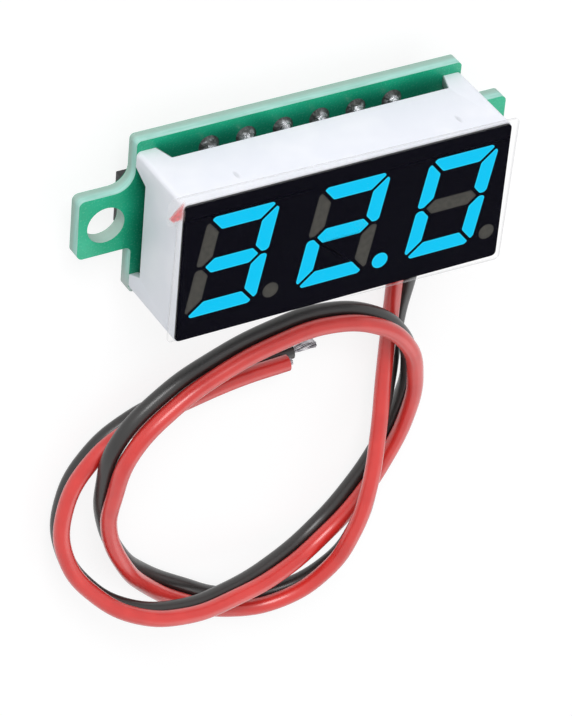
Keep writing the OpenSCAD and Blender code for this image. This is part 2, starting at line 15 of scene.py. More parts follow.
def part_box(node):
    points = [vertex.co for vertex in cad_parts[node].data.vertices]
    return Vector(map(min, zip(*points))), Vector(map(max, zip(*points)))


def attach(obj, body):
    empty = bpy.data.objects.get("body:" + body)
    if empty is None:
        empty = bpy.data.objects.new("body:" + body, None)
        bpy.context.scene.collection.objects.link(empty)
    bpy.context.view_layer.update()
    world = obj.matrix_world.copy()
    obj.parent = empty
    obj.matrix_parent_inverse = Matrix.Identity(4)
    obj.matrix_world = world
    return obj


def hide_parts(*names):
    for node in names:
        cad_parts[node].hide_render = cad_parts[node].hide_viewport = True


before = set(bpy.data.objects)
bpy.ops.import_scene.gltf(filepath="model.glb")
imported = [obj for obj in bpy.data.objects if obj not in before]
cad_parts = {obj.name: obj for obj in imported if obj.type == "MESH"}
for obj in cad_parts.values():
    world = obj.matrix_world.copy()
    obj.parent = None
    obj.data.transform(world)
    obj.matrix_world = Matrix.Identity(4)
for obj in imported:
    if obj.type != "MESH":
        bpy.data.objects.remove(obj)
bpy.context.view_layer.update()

MM = 0.001
MODULE = "module"
ROTOR = "trimmer_rotor"

# %% [markdown]
# ## Camera
# The camera's place and the three directions of its picture were worked out beforehand, so they
# are written as a matrix: its columns are the camera's right, up and backward directions. A long
# lens keeps the small part free of strong perspective.

# %% Camera
CAMERA_AT = Vector((-108.93, 139.91, 174.87)) * MM
RIGHT = Vector((0.87021, 0.07499, 0.48694))
DOWN = Vector((-0.24318, -0.79419, 0.55689))
AHEAD = Vector((0.42848, -0.60302, -0.67288))

camera = bpy.data.objects.new("camera", bpy.data.cameras.new("camera"))
camera.data.sensor_width = 36
camera.data.lens = 203.2
camera.data.clip_start = 0.01
camera.data.clip_end = 10
pose = Matrix((RIGHT, -DOWN, -AHEAD)).transposed().to_4x4()
pose.translation = CAMERA_AT
camera.matrix_world = pose
bpy.context.scene.collection.objects.link(camera)
bpy.context.scene.camera = camera
print("camera:", round(CAMERA_AT.length / MM), "mm from the part")

# %% [markdown]
# ## The wire pair
# Two insulated wires leave the back of the board side by side and lie in loose loops, the red one
# mostly above the black one. One route describes both: it gives the red wire's axis and how far
# the pair leans over, so the black wire's axis follows from it. A Bezier curve with automatic
# handles runs smoothly through the points, and its bevel gives the round insulation.

# %% Route of the pair
WIRE_D = 1.1
WIRE_PITCH = 1.15
BLACK_EXTRA = 0.9
PAIR_ROUTE = [
    (9.3, -4.6, 1.4, 90), (9.3, -7.6, 1.4, 90), (9.4, -11.4, 1.1, 84), (9.3, -15.4, 1.2, 56),
    (8.9, -19.2, 1.8, 50), (8.3, -22.8, 2.8, 36), (7.4, -26.4, 3.8, 38), (6.4, -29.7, 4, 44),
    (5, -33, 3.35, 33), (2.2, -35.1, 2.6, 7), (-1.5, -35.25, 1.85, -20), (-4.8, -33.65, 1.55, -34),
    (-7.7, -31.2, 1.7, -22), (-10, -28, 2.5, -12), (-11.4, -24.4, 2.8, -10), (-11.6, -20.95, 3.6, 10),
    (-10.8, -17.2, 4.2, 34), (-8, -14.7, 4.1, 32), (-4.55, -13.3, 3.7, 18), (-0.55, -12.3, 3.5, 16),
    (3.2, -12, 3.5, 16), (6.5, -12.8, 3.8, 14), (9.1, -15.1, 3.7, 10), (10.55, -18.7, 3, 9),
    (10.8, -22.45, 2.2, -2), (9.9, -25.95, 1.75, -4), (8, -29, 1.75, -8), (5.5, -31.3, 1.85, -2),
    (2, -32.5, 2.7, 0), (-2, -32.7, 3.6, 10), (-6, -32.4, 4.2, 8), (-9.5, -31.4, 3.9, 6),
    (-12.2, -29.4, 3.05, 2), (-14, -26.45, 2.2, -12), (-14.1, -22.75, 1.75, -20), (-12.3, -19.2, 1.75, -22),
    (-9.3, -17.35, 1.75, -16), (-5.55, -16.4, 1.8, -14), (-2, -15.85, 1.75, -10), (1.45, -15.65, 1.75, -8),
]


def direction(points, i):
    """Which way a route runs at point i."""
    return (points[min(i + 1, len(points) - 1)] - points[max(i - 1, 0)]).normalized()


red_line = [Vector(p[:3]) for p in PAIR_ROUTE]
black_line = []
for i, (x, y, z, lean) in enumerate(PAIR_ROUTE):
    way = direction(red_line, i)
    left = Vector((-way.y, way.x, 0)).normalized()
    tilt = math.radians(lean)
    black_line.append(red_line[i] + WIRE_PITCH * (math.sin(tilt) * left - Vector((0, 0, math.cos(tilt)))))
black_line[-1] += BLACK_EXTRA * (black_line[-1] - black_line[-2]).normalized()
print("pair:", len(red_line), "points each")

# %% Wires


def wire(name, line):
    """A round wire along a line of points in millimetres, and the smooth path of its axis."""
    data = bpy.data.curves.new(name, "CURVE")
    data.dimensions = "3D"
    data.resolution_u = 8
    spline = data.splines.new("BEZIER")
    spline.bezier_points.add(len(line) - 1)
    for knot, point in zip(spline.bezier_points, line):
        knot.co = point * MM
        knot.handle_left_type = knot.handle_right_type = "AUTO"
    piece = bpy.data.objects.new(name, data)
    bpy.context.scene.collection.objects.link(piece)
    axis = bpy.data.meshes.new_from_object(piece)
    path = [vertex.co.copy() for vertex in axis.vertices]
    data.bevel_depth = WIRE_D / 2 * MM
    data.bevel_resolution = 7
    data.use_fill_caps = True
    bpy.ops.object.select_all(action="DESELECT")
    piece.select_set(True)
    bpy.context.view_layer.objects.active = piece
    bpy.ops.object.convert(target="MESH")
    return piece, path


red_cord, red_axis = wire("red_lead", red_line)
black_cord, black_axis = wire("black_lead", black_line)
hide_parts("red_wire")
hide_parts("black_wire")
for cord in (red_cord, black_cord):
    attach(cord, MODULE)


def run_length(path):
    return sum((b - a).length for a, b in zip(path, path[1:]))


print("wires:", round(run_length(red_axis) / MM, 1), "and", round(run_length(black_axis) / MM, 1), "mm")

# %% [markdown]
# ## Ways of working
# A few short helpers carry the rest of the lesson. Operators act on whatever is selected, so one
# helper leaves exactly one object selected, and another picks faces by where they are and which
# way they face. A third rounds the hard edges of a copy of a CAD node: real mouldings and metal
# parts have no perfectly sharp edge, and the small radius is what catches the light.

# %% Helpers for selecting


def only(*pieces):
    """Leaves just these objects selected, the last of them active."""
    bpy.ops.object.select_all(action="DESELECT")
    for piece in pieces:
        piece.select_set(True)
    bpy.context.view_layer.objects.active = pieces[-1]


def pick(piece, test):
    """In edit mode, selects the faces whose centre and normal pass a test."""
    bpy.ops.mesh.select_mode(type="FACE")
    bpy.ops.mesh.select_all(action="DESELECT")
    shape = bmesh.from_edit_mesh(piece.data)
    for face in shape.faces:
        face.select_set(test(face.calc_center_median(), face.normal))
    bmesh.update_edit_mesh(piece.data)


def settle(piece):
    """Puts an object's place, turn and size into its mesh."""
    only(piece)
    bpy.ops.object.transform_apply(location=True, rotation=True, scale=True)


def smooth(piece, angle=35):
    only(piece)
    bpy.ops.object.shade_smooth_by_angle(angle=math.radians(angle))


def finish_with(piece, kind, **settings):
    """Adds a modifier, sets it up and applies it."""
    only(piece)
    modifier = piece.modifiers.new(kind.lower(), kind)
    for key, value in settings.items():
        setattr(modifier, key, value)
    bpy.ops.object.modifier_apply(modifier=modifier.name)


def join(name, pieces):
    """Makes one object of several."""
    only(*pieces)
    if len(pieces) > 1:
        bpy.ops.object.join()
    whole = bpy.context.view_layer.objects.active
    whole.name = whole.data.name = name
    return whole


def enlist(piece, body, slot, *nodes):
    """Names the body that a piece rides on and the nodes that it stands for; the slot is not used."""
    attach(piece, body)
    if nodes:
        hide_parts(*nodes)
    return piece


# %% Helpers for copies of CAD nodes
MERGE = 0.0005 * MM    # points closer than this are one point


def copy_of(node, name):
    """A copy of a CAD node with its triangles merged into flat faces."""
    piece = bpy.data.objects.new(name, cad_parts[node].data.copy())
    bpy.context.scene.collection.objects.link(piece)
    only(piece)
    bpy.ops.object.mode_set(mode="EDIT")
    bpy.ops.mesh.select_all(action="SELECT")
    bpy.ops.mesh.remove_doubles(threshold=MERGE)
    bpy.ops.mesh.dissolve_limited(angle_limit=math.radians(1))
    bpy.ops.object.mode_set(mode="OBJECT")
    return piece


def rounded(node, name, radius, body, slot, segments=3):
    """Stands for a CAD node, with its hard edges rounded."""
    piece = copy_of(node, name)
    finish_with(piece, "BEVEL", width=radius * MM, segments=segments, limit_method="ANGLE",
                angle_limit=math.radians(32), use_clamp_overlap=True, miter_outer="MITER_ARC")
    smooth(piece)
    return enlist(piece, body, slot, node)


# %% [markdown]
# ## Stripped ends
# Each wire's core is seven tinned strands with a slight twist. Seven discs are added, one in the
# middle and six round it, and then they are extruded together in short steps, with a little turn
# at each step. The bundle is turned to the wire's direction and set against the insulation. On
# the longer one the strands have come apart a little, so its far end is pulled into two bunches.

# %% Strands
STRAND_D = 0.165
TWIST_PER_MM = 55
STRAND_STEP = 0.12
RED_TIP = 0.3
BLACK_TIP = 1.7
BLACK_APART = 0.12


def strands(name, start, way, length, apart=0.0):
    """A twisted bundle of seven strands that leaves the point start, in millimetres."""
    spots = [(0, 0)]
    for turn in range(0, 360, 60):
        spots.append((STRAND_D * math.cos(math.radians(turn)), STRAND_D * math.sin(math.radians(turn))))
    discs = []
    for x, y in spots:
        bpy.ops.mesh.primitive_circle_add(vertices=10, radius=STRAND_D / 2 * MM, fill_type="NGON",
                                          location=(x * MM, y * MM, 0))
        discs.append(bpy.context.object)
    bundle = join(name, discs)
    settle(bundle)
    steps = max(3, round(length / STRAND_STEP))
    bpy.ops.object.mode_set(mode="EDIT")
    bpy.ops.mesh.select_all(action="SELECT")
    for _ in range(steps):
        bpy.ops.mesh.extrude_region_move(TRANSFORM_OT_translate={"value": (0, 0, length / steps * MM)})
        bpy.ops.transform.rotate(value=math.radians(TWIST_PER_MM * length / steps), orient_axis="Z",
                                 center_override=(0, 0, 0))
    bpy.ops.mesh.select_all(action="SELECT")
    bpy.ops.mesh.normals_make_consistent(inside=False)
    bpy.ops.object.mode_set(mode="OBJECT")
    for vertex in bundle.data.vertices:
        along = vertex.co.z / MM / length
        vertex.co.y += math.copysign(apart * along ** 1.5 * MM, vertex.co.y)
    bundle.rotation_mode = "QUATERNION"
    bundle.rotation_quaternion = way.to_track_quat("Z", "Y")
    bundle.location = start * MM
    settle(bundle)
    smooth(bundle, 50)
    return bundle


red_strands = strands("red_strands", red_line[-1],
                      direction(red_line, len(red_line) - 1), RED_TIP)
black_strands = strands("black_strands", black_line[-1],
                        direction(black_line, len(black_line) - 1), BLACK_TIP, BLACK_APART)
enlist(red_strands, MODULE, "tinned_metal", "red_wire_tip")
enlist(black_strands, MODULE, "tinned_metal", "black_wire_tip")

print("strands:", len(red_strands.data.polygons) + len(black_strands.data.polygons), "faces")

# %% [markdown]
# ## Display housing
# The housing is a white moulding that stands on four feet, with an open window for each segment.
# The CAD node already has that form, so the copy only gets the small radius that a mould leaves.

# %% Housing
housing = rounded("display_housing", "white_housing", 0.07, MODULE, "housing_white")
print("housing:", len(housing.data.polygons), "faces")

# %% [markdown]
# ## Segments
# Each window is filled with milky resin that spreads the light of a chip behind it. The upright
# corners of every bar get a small bevel, as a printed mask never has sharp corners. A lit segment
# is a little paler along its rim than in its middle. To paint that, the outer face of each bar
# gets an inset ring, and an attribute called core is 0 at the rim and 1 inside the ring.

# %% Resin bars
RIM = 0.13
BAR_CORNER_R = 0.085
bars = []


def bevel_uprights(piece, radius, segments=4):
    """Rounds the upright edges at a piece's corners."""
    only(piece)
    bpy.ops.object.mode_set(mode="EDIT")
    bpy.ops.mesh.select_mode(type="EDGE")
    bpy.ops.mesh.select_all(action="DESELECT")
    shape = bmesh.from_edit_mesh(piece.data)
    for edge in shape.edges:
        upright = (edge.verts[0].co - edge.verts[1].co).xy.length < 0.001 * MM
        edge.select_set(upright and edge.calc_face_angle(0) > math.radians(15))
    bmesh.update_edit_mesh(piece.data)
    bpy.ops.mesh.bevel(offset=radius * MM, segments=segments, affect="EDGES")
    bpy.ops.object.mode_set(mode="OBJECT")


def resin(node, name, slot):
    """The resin in some windows, with the attribute core on its outer faces."""
    piece = copy_of(node, name)
    bars.append(piece)
    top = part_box(node)[1].z
    bpy.ops.object.mode_set(mode="EDIT")
    pick(piece, lambda centre, normal: normal.z > 0.9 and centre.z > top - 0.01 * MM)
    bpy.ops.mesh.inset(thickness=RIM * MM, depth=0)
    bpy.ops.object.mode_set(mode="OBJECT")
    core = piece.data.attributes.new("core", "FLOAT", "POINT")
    for face in piece.data.polygons:
        if face.select:
            for corner in face.vertices:
                core.data[corner].value = 1.0
    bevel_uprights(piece, BAR_CORNER_R)
    return enlist(piece, MODULE, slot, node)


for number in (1, 2, 3):
    resin(f"digit_{number}_lit", f"lit_bars_{number}", "segment_lit")
    resin(f"digit_{number}_dark", f"dark_bars_{number}", "segment_dark")
resin("lit_point", "lit_dot", "segment_lit")
resin("dark_points", "dark_dots", "segment_dark")

# %% [markdown]
# ## Black mask
# The mask is a thin sheet with a window for every bar and point. The bars themselves are the best
# cutters for it: copies of them are joined, raised until they stand through the sheet, and taken
# away from it with a Boolean modifier, so that each window has exactly its bar's outline.

# %% Mask
MASK_CORNER_R = 0.3
RAISE = 0.2

mask_low, mask_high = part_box("display_mask")
bpy.ops.mesh.primitive_cube_add(size=1, location=(mask_low + mask_high) / 2)
mask_sheet = bpy.context.object
mask_sheet.name = "mask_sheet"
mask_sheet.scale = mask_high - mask_low
settle(mask_sheet)
bevel_uprights(mask_sheet, MASK_CORNER_R)
cutters = []
for bar in bars:
    cutter = bar.copy()
    cutter.data = bar.data.copy()
    bpy.context.scene.collection.objects.link(cutter)
    cutters.append(cutter)
cutter = join("cutter", cutters)
for vertex in cutter.data.vertices:
    if vertex.co.z > mask_low.z:
        vertex.co.z += RAISE * MM
finish_with(mask_sheet, "BOOLEAN", operation="DIFFERENCE", solver="EXACT", object=cutter)
bpy.data.objects.remove(cutter)
enlist(mask_sheet, MODULE, "mask_black", "display_mask")
print("mask:", len(mask_sheet.data.polygons), "faces")

# %% [markdown]
# ## Protective film
# A clear film still covers the face, a little askew, and stands out past its edges. It starts as a
# thin slab that is turned by just over one degree. At the top left it has a tab to pull it off by,
# extruded from the slab's side. Its corners are rounded, and the strip that overhangs the left
# side lifts very slightly, as loose film does.

# %% Film
FILM = (23.4, 10.5, 0.1)
FILM_AT = (-0.1, 0.1, 9.1)
FILM_TURN = -1.2
TAB_FROM_Y = 3.7
TAB_REACH = 0.75
TAB_MIDDLE = (-11.75, 4.55)
TAB_HALF = 0.8
FILM_CORNER_R = 0.35
LIFT = 0.12
LIFTS_FROM_X = -11.2

bpy.ops.mesh.primitive_cube_add(size=1, location=[c * MM for c in FILM_AT],
                                rotation=(0, 0, math.radians(FILM_TURN)))
film = bpy.context.object
film.name = "clear_film_sheet"
film.scale = [c * MM for c in FILM]
settle(film)
bpy.ops.object.mode_set(mode="EDIT")
bpy.ops.mesh.select_all(action="SELECT")
bpy.ops.mesh.bisect(plane_co=(0, TAB_FROM_Y * MM, 0), plane_no=(0, 1, 0))
pick(film, lambda centre, normal: normal.x < -0.9 and centre.y > TAB_FROM_Y * MM)
bpy.ops.mesh.extrude_region_move(TRANSFORM_OT_translate={"value": (-TAB_REACH * MM, 0, 0)})
bpy.ops.object.mode_set(mode="OBJECT")
bevel_uprights(film, FILM_CORNER_R, segments=6)
bpy.ops.object.mode_set(mode="EDIT")
for x in (-12.2, -11.9, -11.55, LIFTS_FROM_X):
    bpy.ops.mesh.select_all(action="SELECT")
    bpy.ops.mesh.bisect(plane_co=(x * MM, 0, 0), plane_no=(1, 0, 0))
bpy.ops.object.mode_set(mode="OBJECT")
for vertex in film.data.vertices:
    out = max(0, LIFTS_FROM_X - vertex.co.x / MM)
    vertex.co.z += LIFT * min(1, out) ** 2 * MM
enlist(film, MODULE, "clear_film", "protective_film")
print("film:", len(film.data.polygons), "faces")

# %% [markdown]
# ## Pins and their solder
# Twelve round pins pass through the board, and solder climbs each one on both faces. A joint is a
# turned shape, so half its outline is drawn as a chain of vertices and spun about the pin. One
# joint is modelled, and one pin for each row, since the upper pins are shorter. The rest are
# copies with meshes of their own.

# %% Spun shapes
PIN_PITCH = 2.54
PIN_ROWS = {"upper": 4, "lower": -4}
PIN_X = [(k - 2.5) * PIN_PITCH for k in range(6)]
board_low, board_high = (corner.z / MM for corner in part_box("circuit_board"))


def spun(name, outline, steps=24):
    """Turns an outline of (radius, height) points, in millimetres, about Z."""
    data = bpy.data.meshes.new(name)
    data.from_pydata([(r * MM, 0, z * MM) for r, z in outline],
                     [(k, k + 1) for k in range(len(outline) - 1)], [])
    piece = bpy.data.objects.new(name, data)
    bpy.context.scene.collection.objects.link(piece)
    only(piece)
    bpy.ops.object.mode_set(mode="EDIT")
    bpy.ops.mesh.select_all(action="SELECT")
    bpy.ops.mesh.spin(steps=steps, angle=math.tau, center=(0, 0, 0), axis=(0, 0, 1))
    bpy.ops.mesh.select_all(action="SELECT")
    bpy.ops.mesh.remove_doubles(threshold=MERGE)
    bpy.ops.mesh.normals_make_consistent(inside=False)
    bpy.ops.object.mode_set(mode="OBJECT")
    smooth(piece, 60)
    return piece


def row_of(name, model, y):
    """Copies of a model at each pin of a row, joined."""
    copies = []
    for x in PIN_X:
        twin = model.copy()
        twin.data = model.data.copy()
        twin.location = (x * MM, y * MM, 0)
        bpy.context.scene.collection.objects.link(twin)
        copies.append(twin)
    row = join(name, copies)
    settle(row)
    return row


# %% Pins
joint_model = spun("joint_model", [
    (0.25, board_low - 0.6), (0.3, board_low - 0.56), (0.36, board_low - 0.42), (0.46, board_low - 0.24),
    (0.59, board_low - 0.1), (0.68, board_low - 0.03), (0.7, board_low), (0.45, board_low),
    (0.45, board_high), (0.7, board_high), (0.68, board_high + 0.04), (0.6, board_high + 0.13),
    (0.48, board_high + 0.28), (0.37, board_high + 0.44), (0.3, board_high + 0.56), (0.25, board_high + 0.6),
], steps=28)
for side, y in PIN_ROWS.items():
    low, high = (corner.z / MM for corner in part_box(f"{side}_pins"))
    pin_model = spun("pin_model", [
        (0, low), (0.17, low), (0.23, low + 0.03), (0.25, low + 0.09), (0.25, high), (0, high),
    ])
    enlist(row_of(f"{side}_row_pins", pin_model, y), MODULE, "tinned_metal", f"{side}_pins")
    enlist(row_of(f"{side}_row_solder", joint_model, y), MODULE, "solder", f"{side}_pin_solder")
    bpy.data.objects.remove(pin_model)
bpy.data.objects.remove(joint_model)
print("pins:", len(PIN_X) * len(PIN_ROWS))

# %% [markdown]
# ## Wire joints
# On the back of the board each stripped wire is held in a small dome of solder. The dome is spun
# like the pin joints, and a short bundle of strands runs from it to the insulation.

# %% Wire joints
JOINT_Y = -3.2
DOME_H = board_low - red_line[0].z + 0.35

for colour, line in (("red", red_line), ("black", black_line)):
    start = line[0]
    dome = spun(f"{colour}_dome", [
        (0, -DOME_H), (0.14, -DOME_H + 0.02), (0.27, -DOME_H + 0.1), (0.36, -DOME_H + 0.26),
        (0.42, -DOME_H + 0.5), (0.49, -DOME_H + 0.74), (0.55, 0), (0, 0),
    ])
    dome.location = (start.x * MM, JOINT_Y * MM, board_low * MM)
    settle(dome)
    run = strands(f"{colour}_run", Vector((start.x, JOINT_Y, start.z)),
                  Vector((0, -1, 0)), JOINT_Y - start.y)
    enlist(join(f"{colour}_solder_dome", [run, dome]), MODULE, "solder", f"{colour}_wire_joint")

# %% [markdown]
# ## Parts on the back
# The chips, the trimmer and the small two-ended parts have their true forms in the CAD, so copies
# with rounded edges stand for them. The radius follows the size of each part. The ends of the two
# thicker bodies slope a little, which frees them from their moulds, so the low side is drawn in.

# %% Rounded parts
DRAWN_IN = 0.09

rounded("microcontroller", "control_chip", 0.04, MODULE, "moulding_black")
for node, name in (("voltage_regulator", "regulator_body"), ("input_diode", "diode_body")):
    body = rounded(node, name, 0.05, MODULE, "moulding_black")
    low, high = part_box(node)
    for vertex in body.data.vertices:
        depth = (high.z - vertex.co.z) / (high.z - low.z)
        vertex.co.y += ((low.y + high.y) / 2 - vertex.co.y) * DRAWN_IN * depth
rounded("microcontroller_leads", "control_chip_leads", 0.03, MODULE, "tinned_metal", segments=2)
rounded("voltage_regulator_leads", "regulator_leads", 0.04, MODULE, "tinned_metal", segments=2)
rounded("input_diode_terminals", "diode_terminals", 0.03, MODULE, "tinned_metal", segments=2)
rounded("trimmer_base", "trimmer_block", 0.05, MODULE, "ceramic_white", segments=2)
rounded("trimmer_terminals", "trimmer_feet", 0.04, MODULE, "tinned_metal", segments=2)
screw = rounded("trimmer_rotor", "trimmer_screw", 0.03, ROTOR, "rotor_metal", segments=2)
finish_with(screw, "WEIGHTED_NORMAL", keep_sharp=True)  # its large top face stays flat in the light
rounded("capacitor_ends", "capacitor_caps", 0.06, MODULE, "tinned_metal")
rounded("resistor_ends", "resistor_caps", 0.04, MODULE, "tinned_metal")
print("screw:", len(screw.data.polygons), "faces")

# %% [markdown]
# ## Solder under the terminals
# Each metal foot on the back sits on a tinned pad, with solder drawn up round it. Every solid of
# a terminal node touches the board in a small rectangle, which is measured in its mesh. A slab of
# that size, with a margin, is extruded and narrowed once to make the sloping fillet of solder.

# %% Solder pads
PAD_MARGIN = 0.13
PAD_BEVEL = 0.035
PAD_T = 0.04
FILLET_H = 0.16


def footprints(node):
    """The rectangles, in millimetres, in which a node's solids touch the back of the board."""
    piece = copy_of(node, "footprint")
    shape = bmesh.new()
    shape.from_mesh(piece.data)
    bpy.data.objects.remove(piece)
    left, found = set(shape.verts), []
    while left:
        group, edge_of = set(), [left.pop()]
        while edge_of:
            vertex = edge_of.pop()
            group.add(vertex)
            for edge in vertex.link_edges:
                other = edge.other_vert(vertex)
                if other in left:
                    left.discard(other)
                    edge_of.append(other)
        flat = [v.co / MM for v in group if abs(v.co.z / MM - board_low) < 0.01]
        if flat:
            found.append((min(p.x for p in flat), min(p.y for p in flat),
                          max(p.x for p in flat), max(p.y for p in flat)))
    shape.free()
    return sorted(found)


def solder_pad(low_x, low_y, high_x, high_y):
    """A pad of solder on the back of the board, sloping up towards the foot on it."""
    w, h = high_x - low_x + 2 * PAD_MARGIN, high_y - low_y + 2 * PAD_MARGIN
    x, y = (low_x + high_x) / 2 * MM, (low_y + high_y) / 2 * MM
    narrower = 1.7 * PAD_MARGIN
    bpy.ops.mesh.primitive_cube_add(size=1, location=(x, y, (board_low - PAD_T / 2) * MM))
    pad = bpy.context.object
    pad.scale = (w * MM, h * MM, PAD_T * MM)
    settle(pad)
    bpy.ops.object.mode_set(mode="EDIT")
    pick(pad, lambda centre, normal: normal.z < -0.9)
    bpy.ops.mesh.extrude_region_move(TRANSFORM_OT_translate={"value": (0, 0, -FILLET_H * MM)})
    bpy.ops.transform.resize(value=((w - narrower) / w, (h - narrower) / h, 1),
                             center_override=(x, y, 0))
    bpy.ops.object.mode_set(mode="OBJECT")
    finish_with(pad, "BEVEL", width=PAD_BEVEL * MM, segments=2)
    return pad


pads = []
for node in ("microcontroller_leads", "voltage_regulator_leads", "input_diode_terminals",
             "trimmer_terminals", "capacitor_ends", "resistor_ends"):
    pads += [solder_pad(*foot) for foot in footprints(node)]
print("solder pads:", len(pads))
solder_pads = join("terminal_solder", pads)
smooth(solder_pads, 40)
enlist(solder_pads, MODULE, "solder")

# %% [markdown]
# ## Shader maths
# A material is a chain of small sums: how far a point is from an edge, how strong a speckle is.
# Written as nodes these are hard to read, so a number that flows between nodes is wrapped in a
# class that understands ordinary arithmetic. One more method adds any other node.

# %% Signals and finishes


class Signal:
    """The output of a shader node, used in sums like a number."""

    def __init__(self, finish, socket):
        self.finish = finish
        self.socket = socket

    def maths(self, operation, *inputs):
        return self.finish.node("ShaderNodeMath", {"operation": operation}, *(inputs or (self,)))

    def __add__(self, other):
        return self.maths("ADD", self, other)

    def __sub__(self, other):
        return self.maths("SUBTRACT", self, other)

    def __mul__(self, other):
        return self.maths("MULTIPLY", self, other)

    def __truediv__(self, other):
        return self.maths("DIVIDE", self, other)

    def __gt__(self, other):
        return self.maths("GREATER_THAN", self, other)

    def __lt__(self, other):
        return self.maths("LESS_THAN", self, other)

    def __abs__(self):
        return self.maths("ABSOLUTE", self)

    def most(self, other):
        return self.maths("MAXIMUM", self, other)

    def least(self, other):
        return self.maths("MINIMUM", self, other)

    def length(self, other):
        """The length of a vector with this signal and another as its sides."""
        return (self * self + other * other).maths("SQRT")

    def ramp(self, low, high, to_low=0.0, to_high=1.0):
        """Runs smoothly from one value to another as the signal goes from low to high."""
        return self.finish.node("ShaderNodeMapRange", {"interpolation_type": "SMOOTHSTEP"},
                                self, low, high, to_low, to_high)


class Finish:
    """A material under construction."""

    def __init__(self, name):
        self.material = bpy.data.materials.new(name)
        self.material.use_nodes = True
        self.tree = self.material.node_tree
        self.shader = self.tree.nodes["Principled BSDF"]

    def feed(self, socket, value):
        if isinstance(value, Signal):
            self.tree.links.new(value.socket, socket)
        else:
            socket.default_value = value

    def node(self, kind, settings=None, *values, output=0, named=None):
        """Adds a node: its settings first, then the values or signals of its sockets."""
        made = self.tree.nodes.new(kind)
        for key, value in (settings or {}).items():
            setattr(made, key, value)
        for key, value in list(enumerate(values)) + list((named or {}).items()):
            self.feed(made.inputs[key], value)
        return Signal(self, made.outputs[output])

    def coords(self):
        """Where the shaded point is, in millimetres, as a vector."""
        place = self.node("ShaderNodeTexCoord", output="Object")
        return self.node("ShaderNodeVectorMath", {"operation": "SCALE"}, place, named={"Scale": 1000.0})

    def xyz(self):
        parts = self.node("ShaderNodeSeparateXYZ", None, self.coords())
        outputs = parts.socket.node.outputs
        return [Signal(self, outputs[axis]) for axis in "XYZ"]

    def noise(self, per_mm, detail, stretch=(1, 1, 1)):
        """Soft random spots from 0 to 1, so many to the millimetre."""
        place = self.coords()
        if stretch != (1, 1, 1):
            place = self.node("ShaderNodeVectorMath", {"operation": "MULTIPLY"}, place, stretch)
        return self.node("ShaderNodeTexNoise", None,
                         named={"Vector": place, "Scale": per_mm, "Detail": detail})

    def mix(self, amount, first, second):
        """A colour between two colours."""
        return self.node("ShaderNodeMix", {"data_type": "RGBA"}, output=2,
                         named={0: amount, 6: first, 7: second})

    def bump(self, height, depth_mm, strength):
        """A normal from a height signal."""
        return self.node("ShaderNodeBump", None,
                         named={"Strength": strength, "Distance": depth_mm * MM, "Height": height})

    def shade(self, **inputs):
        """Feeds the main shader, with the spaces of its socket names written as underscores."""
        for key, value in inputs.items():
            self.feed(self.shader.inputs[key.replace("_", " ")], value)
        return self.material


def paint(r, g, b):
    """A screen colour from 0 to 255, as the linear colour that shaders take."""
    linear = [(c / 255 / 12.92) if c <= 10 else ((c / 255 + 0.055) / 1.055) ** 2.4 for c in (r, g, b)]
    return (*linear, 1.0)


def dress(material, *names):
    """Gives a finish to pieces or CAD nodes by their names."""
    for name in names:
        piece = bpy.data.objects[name]
        if piece.material_slots:
            for slot in piece.material_slots:
                slot.material = material
        else:
            piece.data.materials.append(material)


# %% [markdown]
# ## Board finish
# Both faces carry a glossy green solder mask. It is dark where the copper lies behind it and a
# brighter, glassy green towards the ears, where there is only laminate. The cut edges and the
# walls of the ear holes show the paler laminate itself: height tells them apart, because a point
# strictly between the two faces lies on an edge. On the back there are tracks, plated holes and
# the printed outlines of the parts, all made from distances to rectangles and points.

# %% Board
EAR_HOLE_X = 13.05
EAR_HOLE_REACH = 1.35
TRACKS = [    # left, bottom, right and top of each straight run of copper, in millimetres
    (-8.1, 2.6, -4.9, 2.8), (-8.1, 2.6, -7.9, 4.0), (-0.1, 2.6, 1.3, 2.8), (1.2, 2.6, 1.4, 4.0),
    (-0.1, -1.4, 1.9, -1.2), (-8.9, -2.9, -4.9, -2.7), (-6.2, -4.0, -6.0, -2.1), (-3.9, -4.9, -3.7, -3.4),
    (-3.9, -4.9, 3.9, -4.7), (3.8, -4.9, 4.0, -2.1), (5.2, 1.6, 6.7, 1.8), (6.2, 1.6, 6.4, 4.0),
    (6.5, -2.6, 6.7, -0.9), (6.5, -2.6, 8.2, -2.4), (7.9, -2.6, 8.1, -1.5), (-1.2, 3.4, -1.0, 4.9),
    (-1.2, 4.7, 8.9, 4.9), (-5.6, 4.7, -3.6, 4.9), (-3.8, 3.4, -3.6, 4.9), (8.7, 4.5, 8.9, 4.9),
]
VIAS = [
    (-6.7, 1.5), (-6.7, -1.9), (0.9, -2.3), (2.1, 2.5), (4.9, -3.2), (5.6, 2.9), (-8.3, 3.1), (10.4, -1.6),
]
PRINTED = [    # centre and half size of each printed outline
    (-2.5, 0, 3.5, 3.5), (-9.75, -0.35, 1.05, 2.9), (3.7, 0, 2.0, 1.8), (8.9, 2.3, 2.1, 2.55),
]


